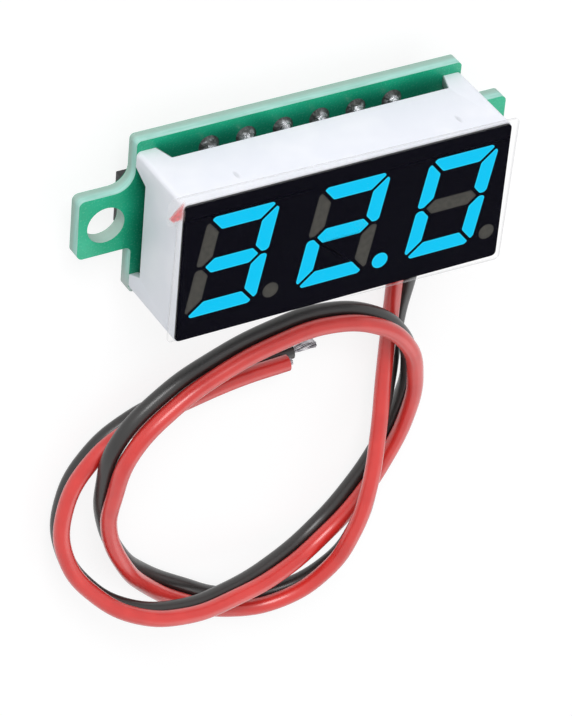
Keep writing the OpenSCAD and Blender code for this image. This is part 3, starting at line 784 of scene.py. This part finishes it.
def board_finish():
    f = Finish("green_board")
    x, y, z = f.xyz()
    across, up = abs(x), abs(y)
    cut_edge = (z > board_low + 0.02) * (z < board_high - 0.02)
    back = z < board_low + 0.02
    cloud = f.noise(0.35, 3).ramp(0.3, 0.7)
    weave = f.noise(7, 2)
    # Mask over copper, and mask over bare laminate towards the ears and the rim
    bare = across.ramp(8.6, 12.6).most(up.ramp(4.7, 5.5) * 0.75)
    over_copper = f.mix(cloud, paint(22, 134, 104), paint(30, 152, 118))
    over_laminate = f.mix(cloud, paint(24, 172, 128), paint(36, 190, 146))
    mask = f.mix(bare, over_copper, over_laminate)
    # Copper tracks stand up under the mask on the back
    track = 0.0
    for left, bottom, right, top in TRACKS:
        off_x = abs(x - (left + right) / 2) - (right - left) / 2
        off = off_x.most(abs(y - (bottom + top) / 2) - (top - bottom) / 2)
        track = off.ramp(0.0, 0.05, 1.0, 0.0).most(track)
    track = track * back
    mask = f.mix(track * 0.75, mask, paint(52, 158, 108))
    # Plated holes: a tinned ring round a hole, which is painted dark as the shade inside it
    ring = hole = 0.0
    for vx, vy in VIAS:
        reach = (x - vx).length(y - vy)
        ring = (reach < 0.27).most(ring)
        hole = (reach < 0.13).most(hole)
    ring, hole = ring * back, hole * back
    mask = f.mix(hole, f.mix(ring, mask, paint(196, 196, 188)), paint(20, 30, 26))
    # Printed outlines
    outline = 0.0
    for cx, cy, half_w, half_h in PRINTED:
        off = (abs(x - cx) - half_w).most(abs(y - cy) - half_h)
        outline = (abs(off) < 0.07).most(outline)
    outline = outline * back
    mask = f.mix(outline * 0.9, mask, paint(222, 226, 220))
    # Less light reaches the front under the display and round the pins' joints
    shade = (y.ramp(4.2, 5.0).most(across.ramp(11.0, 12.3))) * 0.4 + 0.6
    mask = f.mix(back.most(shade), paint(12, 50, 42), mask)
    # Along the lower edge of the front the mask stops short of the cut
    mask = f.mix((y < -5.1) * (back * -1 + 1), mask, paint(172, 192, 186))
    # The laminate of the cut edges, greyer to the back, and the walls of the ear holes
    layers = f.noise(0.6, 2, stretch=(1, 1, 9)).ramp(0.3, 0.7)
    laminate = f.mix(layers, paint(156, 210, 197), paint(176, 224, 214))
    laminate = f.mix(z.ramp(board_low + 0.2, board_low + 0.7), paint(158, 190, 178), laminate)
    laminate = f.mix(y.ramp(-5.4, -3.4), paint(188, 200, 197), laminate)
    from_hole = (across - EAR_HOLE_X).length(y)
    laminate = f.mix((from_hole < EAR_HOLE_REACH) * 0.8, laminate, paint(178, 200, 190))
    return f.shade(
        Base_Color=f.mix(cut_edge, mask, laminate),
        Metallic=ring * (hole * -1 + 1) * (cut_edge * -1 + 1),
        Roughness=cut_edge * 0.35 + weave * 0.04 + outline * 0.3 + 0.25,
        Normal=f.bump(
            weave * 0.05 + cloud * 0.5 + track * 3 + outline * 1.5 + ring * 3 - hole * 6, 0.02, 0.6,
        ),
        Specular_IOR_Level=0.4,
    )


dress(board_finish(), "circuit_board")

# %% [markdown]
# ## Mouldings and mask
# The housing is satin white with the very fine grain of its mould. The mask on the face is black
# ink with a dry, slightly blue look. The moulded chips are dark grey epoxy, matt and a bit sandy.

# %% White housing, black mask, epoxy


def housing_finish():
    f = Finish("white_moulding")
    x, y, z = f.xyz()
    grain = f.noise(9, 3)
    haze = f.noise(0.3, 2).ramp(0.3, 0.75)
    # Two small dents that the mould's pins left in the upper wall, with painted shade in them as a darker
    # grey
    dent_and_shade = ((x + 6.9) * 1.7).length((z - 7.35) * 0.6).least(((x - 8.4) * 1.7).length((z - 7.45) * 0.6))
    dent_and_shade = dent_and_shade.ramp(0.08, 0.3, 1.0, 0.0) * (y > 4)
    white = f.mix(haze, paint(237, 240, 248), paint(245, 247, 253))
    # The inner slopes of the feet stand in the board's shade and pick up its green
    slope = (abs(x) - 9.95 + (z - 3) * 0.31).ramp(0.03, 0.1, 1.0, 0.0) * (z < 4.28)
    white = f.mix(slope * 0.7, white, paint(70, 104, 94))
    return f.shade(
        Base_Color=f.mix(dent_and_shade * 0.6, white, paint(204, 206, 214)),
        Roughness=grain * 0.16 + 0.38,
        Normal=f.bump(grain * 0.4 - dent_and_shade * 4, 0.02, 0.5),
        Specular_IOR_Level=0.35,
    )


def mask_finish():
    f = Finish("black_mask_ink")
    speck = f.noise(6, 3)
    return f.shade(
        Base_Color=f.mix(speck.ramp(0.35, 0.7), paint(3, 3, 12), paint(8, 7, 18)),
        Roughness=speck * 0.15 + 0.5,
        Normal=f.bump(speck, 0.003, 0.3),
        Specular_IOR_Level=0.02,
    )


def epoxy_finish():
    f = Finish("black_epoxy")
    sand = f.noise(14, 3)
    return f.shade(
        Base_Color=f.mix(sand.ramp(0.3, 0.7), paint(34, 34, 36), paint(58, 57, 58)),
        Roughness=sand * 0.2 + 0.5,
        Normal=f.bump(sand, 0.006, 0.6),
        Specular_IOR_Level=0.3,
    )


epoxy = epoxy_finish()
dress(housing_finish(), "white_housing")
dress(mask_finish(), "mask_sheet")
dress(epoxy, "control_chip", "regulator_body", "diode_body", "resistors")

# %% [markdown]
# ## Lit and unlit resin
# The light of a lit bar is even, a shade paler at its rim, and its colour comes from emission so
# that it stays the same under any lamp. An unlit bar is the same resin, grey-brown in the dark.

# %% Resin


def lit_finish():
    f = Finish("lit_resin")
    core = f.node("ShaderNodeAttribute", {"attribute_name": "core"}, output="Fac")
    grain = f.noise(3, 2).ramp(0.3, 0.7, 0.96, 1.0)
    glow = f.mix(core, paint(36, 208, 246), paint(4, 197, 243))
    return f.shade(
        Base_Color=paint(0, 16, 26),
        Roughness=grain * 0.4,
        Emission_Color=glow,
        Emission_Strength=1.0,
        Specular_IOR_Level=0.03,
    )


def unlit_finish():
    f = Finish("unlit_resin")
    core = f.node("ShaderNodeAttribute", {"attribute_name": "core"}, output="Fac")
    grain = f.noise(3, 2).ramp(0.3, 0.7)
    body = f.mix(grain, paint(62, 61, 57), paint(72, 70, 65))
    return f.shade(
        # The rim of each unlit bar is a darker brown: painted shade along the edge of its window
        Base_Color=f.mix(core, paint(46, 45, 43), body),
        Roughness=grain * 0.1 + 0.45,
        Specular_IOR_Level=0.15,
    )


dress(lit_finish(), "lit_bars_1", "lit_bars_2", "lit_bars_3", "lit_dot")
dress(unlit_finish(), "dark_bars_1", "dark_bars_2", "dark_bars_3", "dark_dots")

# %% [markdown]
# ## Clear film
# Over the black mask the film lies flat and is nearly invisible, so its alpha is next to nothing
# there. The strip that stands out past the face catches the light a little, most of all along its
# cut rim. The small red arrow head on its tab is the area inside four lines, with a worn print.

# %% Film finish


def film_finish():
    f = Finish("clear_film_with_arrow")
    x, y, z = f.xyz()
    inside = (x * 0.86 + 14.96 - y).least(y - 3.92).least(x * -1 - 11.3)
    inside = inside.least(y + x * 1.2 + 10.52)
    arrow = (inside + f.noise(3.5, 3) * 0.24 - 0.12).ramp(-0.1, 0.18)
    worn = f.noise(6, 3).ramp(0.3, 0.62, 0.55, 0.9) * x.ramp(-11.8, -11.3, 1.0, 0.45)
    wave = f.noise(0.25, 2)
    past_face = (abs(x) - 11.3).most(abs(y + 0.2) - 4.95).ramp(0.0, 0.05)
    # How deep a point lies inside the film's own outline, which is turned
    cosine, sine = math.cos(math.radians(-FILM_TURN)), math.sin(math.radians(-FILM_TURN))
    u, v = x * cosine - y * sine, x * sine + y * cosine
    depth = (abs(u - FILM_AT[0]) * -1 + FILM[0] / 2).least(abs(v - FILM_AT[1]) * -1 + FILM[1] / 2)
    in_tab = (abs(u - TAB_MIDDLE[0]) * -1 + TAB_HALF).least(abs(v - TAB_MIDDLE[1]) * -1 + TAB_HALF)
    depth = depth.most(in_tab)
    rim = depth.ramp(0.03, 0.14, 1.0, 0.0) * x.ramp(-11.95, -11.85)
    haze = past_face * (rim * 0.16 + 0.06) + 0.001
    return f.shade(
        Base_Color=f.mix(arrow, f.mix(rim, (1, 1, 1, 1), (0.6, 0.6, 0.62, 1)), paint(226, 96, 98)),
        Roughness=wave * 0.1 + 0.12,
        Alpha=(arrow * worn).most(haze),
        Normal=f.bump(wave, 0.05, 0.4),
    )


dress(film_finish(), "clear_film_sheet")

# %% [markdown]
# ## Metals
# Tin plating is bright but not a mirror: fine scratches and a dull bloom break it up. Solder is
# smoother. The joints of the pins are painted darker at their feet as shade, most of it in front,
# where they stand under the display. The rotor is a warmer plated metal.

# %% Metals


def metal_finish(name, dull, bright, rough, grain_per_mm):
    f = Finish(name)
    bloom = f.noise(2.2, 4).ramp(0.32, 0.68)
    grain = f.noise(grain_per_mm, 2)
    return f.shade(
        Base_Color=f.mix(bloom, dull, bright),
        Metallic=1.0,
        Roughness=bloom * -0.12 + grain * 0.12 + rough,
        Normal=f.bump(grain, 0.004, 0.5),
    )


def joint_finish():
    """Solder round the pins, painted darker at the foot of each joint as shade, most of it in front."""
    f = Finish("pin_joint_solder")
    x, y, z = f.xyz()
    bloom = f.noise(2.6, 4).ramp(0.35, 0.65)
    grain = f.noise(7, 3)
    step = (x / PIN_PITCH + len(PIN_X) / 2).maths("FRACT")
    reach = ((step - 0.5) * PIN_PITCH).length(abs(y) - PIN_ROWS["upper"])
    # Painted shade: each joint is darker at its foot, and the front ones darker still, as they stand under
    # the display
    joint_foot_shade = (reach + bloom * 0.16).ramp(0.42, 0.66) * (z.ramp(board_low, board_high) * 0.8 + 0.2)
    # The solder is also painted darker towards the front, as shade under the display
    metal = f.mix(bloom * z.ramp(board_low, board_high, 0.3, 1.0), paint(176, 178, 182), paint(78, 80, 82))
    return f.shade(
        Base_Color=f.mix(joint_foot_shade * 0.85, metal, paint(34, 38, 34)),
        Metallic=joint_foot_shade * -0.7 + 1.0,
        Roughness=bloom * -0.1 + grain * 0.12 + joint_foot_shade * 0.15 + 0.2,
        Normal=f.bump(grain * 1.6 + bloom, 0.05, 0.9),
    )


tin = metal_finish("tin_plating", paint(176, 176, 174), paint(222, 221, 217), 0.3, 16)
solder = metal_finish("solder_metal", paint(150, 152, 154), paint(218, 219, 220), 0.26, 5)
rotor_metal = metal_finish("rotor_plating", paint(176, 168, 150), paint(214, 206, 188), 0.32, 12)
strand_metal = metal_finish("strand_tin", paint(112, 110, 116), paint(196, 194, 198), 0.28, 16)
dress(tin, "upper_row_pins", "lower_row_pins", "control_chip_leads", "regulator_leads",
      "diode_terminals", "trimmer_feet", "capacitor_caps", "resistor_caps")
dress(strand_metal, "red_strands", "black_strands")
dress(joint_finish(), "upper_row_solder", "lower_row_solder")
dress(solder, "red_solder_dome", "black_solder_dome", "terminal_solder")
dress(rotor_metal, "trimmer_screw")

# %% [markdown]
# ## Ceramics, laminate and chips
# The capacitors are tan ceramic, the trimmer's block is off-white, the base plate inside the
# display is dark green laminate and the chips on it carry gold bonds.

# %% Small finishes


def grainy_finish(name, first, second, per_mm, rough, metallic=0.0):
    f = Finish(name)
    grain = f.noise(per_mm, 3)
    return f.shade(
        Base_Color=f.mix(grain.ramp(0.3, 0.7), first, second),
        Metallic=metallic,
        Roughness=grain * 0.15 + rough,
        Normal=f.bump(grain, 0.004, 0.4),
    )


dress(grainy_finish("tan_ceramic", paint(168, 138, 104), paint(188, 158, 122), 9, 0.4), "capacitors")
dress(grainy_finish("white_ceramic", paint(222, 218, 206), paint(236, 232, 222), 8, 0.42), "trimmer_block")
dress(grainy_finish("plate_laminate", paint(38, 84, 62), paint(52, 100, 74), 5, 0.45), "base_plate")
dress(grainy_finish("chip_gold", paint(190, 150, 80), paint(224, 186, 110), 12, 0.3, 1.0), "led_chips")

# %% [markdown]
# ## Insulation
# Soft PVC has a low sheen and a very fine orange-peel surface from the extruder, and handling
# leaves it faintly uneven in colour. Both wires share the recipe and differ only in colour.

# %% Insulation


def insulation_finish(name, deep, light, rough, coat):
    f = Finish(name)
    peel = f.noise(5, 3)
    cloud = f.noise(0.5, 2).ramp(0.3, 0.7)
    return f.shade(
        Base_Color=f.mix(cloud, deep, light),
        Roughness=peel * 0.12 + rough,
        Normal=f.bump(peel, 0.006, 0.5),
        Specular_IOR_Level=0.5,
        Coat_Weight=coat,
        Coat_Roughness=0.26,
    )


dress(insulation_finish("red_pvc", paint(214, 36, 30), paint(227, 49, 42), 0.38, 1.0), "red_lead")
dress(insulation_finish("black_pvc", paint(17, 16, 15), paint(26, 24, 23), 0.45, 0.6), "black_lead")

# %% [markdown]
# ## Floor and light
# The floor is pale and keeps a faint shadow. It is seen by the camera, and in reflections, as
# partly glowing, so that it reads as white without more light on the part. A large soft lamp
# stands above the top side of the digits, a weaker one opposite, and the world fills the rest.

# %% Floor


def seen_directly(tree):
    """A number that is 1 for camera, glossy and transmitted rays and 0 for the others."""
    path = tree.nodes.new("ShaderNodeLightPath")
    either = path.outputs["Is Camera Ray"]
    for ray in ("Is Glossy Ray", "Is Transmission Ray"):
        most = tree.nodes.new("ShaderNodeMath")
        most.operation = "MAXIMUM"
        tree.links.new(either, most.inputs[0])
        tree.links.new(path.outputs[ray], most.inputs[1])
        either = most.outputs[0]
    return either


bpy.ops.mesh.primitive_plane_add(size=3)
floor = bpy.context.object
floor.name = "floor"
pale = bpy.data.materials.new("pale_floor")
pale.use_nodes = True
tree = pale.node_tree
tree.nodes.clear()
output = tree.nodes.new("ShaderNodeOutputMaterial")
blend = tree.nodes.new("ShaderNodeMixShader")
paper = tree.nodes.new("ShaderNodeBsdfDiffuse")
glow = tree.nodes.new("ShaderNodeEmission")
share = tree.nodes.new("ShaderNodeMath")
paper.inputs["Color"].default_value = (0.82, 0.82, 0.83, 1)
glow.inputs["Strength"].default_value = 1.15
share.operation = "MULTIPLY"
share.inputs[1].default_value = 0.72
tree.links.new(seen_directly(tree), share.inputs[0])
tree.links.new(share.outputs[0], blend.inputs[0])
tree.links.new(paper.outputs[0], blend.inputs[1])
tree.links.new(glow.outputs[0], blend.inputs[2])
tree.links.new(blend.outputs[0], output.inputs["Surface"])
floor.data.materials.append(pale)

# %% World and lamps
world = bpy.data.worlds.new("studio")
bpy.context.scene.world = world
world.use_nodes = True
tree = world.node_tree
background = tree.nodes["Background"]
background.inputs["Color"].default_value = (1, 1, 1, 1)
strength = tree.nodes.new("ShaderNodeMapRange")
strength.inputs["To Min"].default_value = 0.5
strength.inputs["To Max"].default_value = 1.0
tree.links.new(seen_directly(tree), strength.inputs["Value"])
tree.links.new(strength.outputs[0], background.inputs["Strength"])


def softbox(name, way, distance, size, level):
    """A square lamp that shines on the part from a direction. At level 1 it alone would show
    a white surface that faces it as white."""
    lamp = bpy.data.objects.new(name, bpy.data.lights.new(name, "AREA"))
    lamp.data.shape = "SQUARE"
    lamp.data.size = size
    lamp.data.energy = level * (math.pi * distance) ** 2
    toward = Vector(way).normalized()
    lamp.location = toward * distance
    lamp.rotation_mode = "QUATERNION"
    lamp.rotation_quaternion = toward.to_track_quat("Z", "Y")
    bpy.context.scene.collection.objects.link(lamp)


softbox("key", (-0.25, 0.8, 0.6), 0.5, 0.22, 0.55)
softbox("fill", (0.5, -0.6, 0.7), 0.6, 0.4, 0.12)
bpy.context.scene.view_settings.view_transform = "Standard"
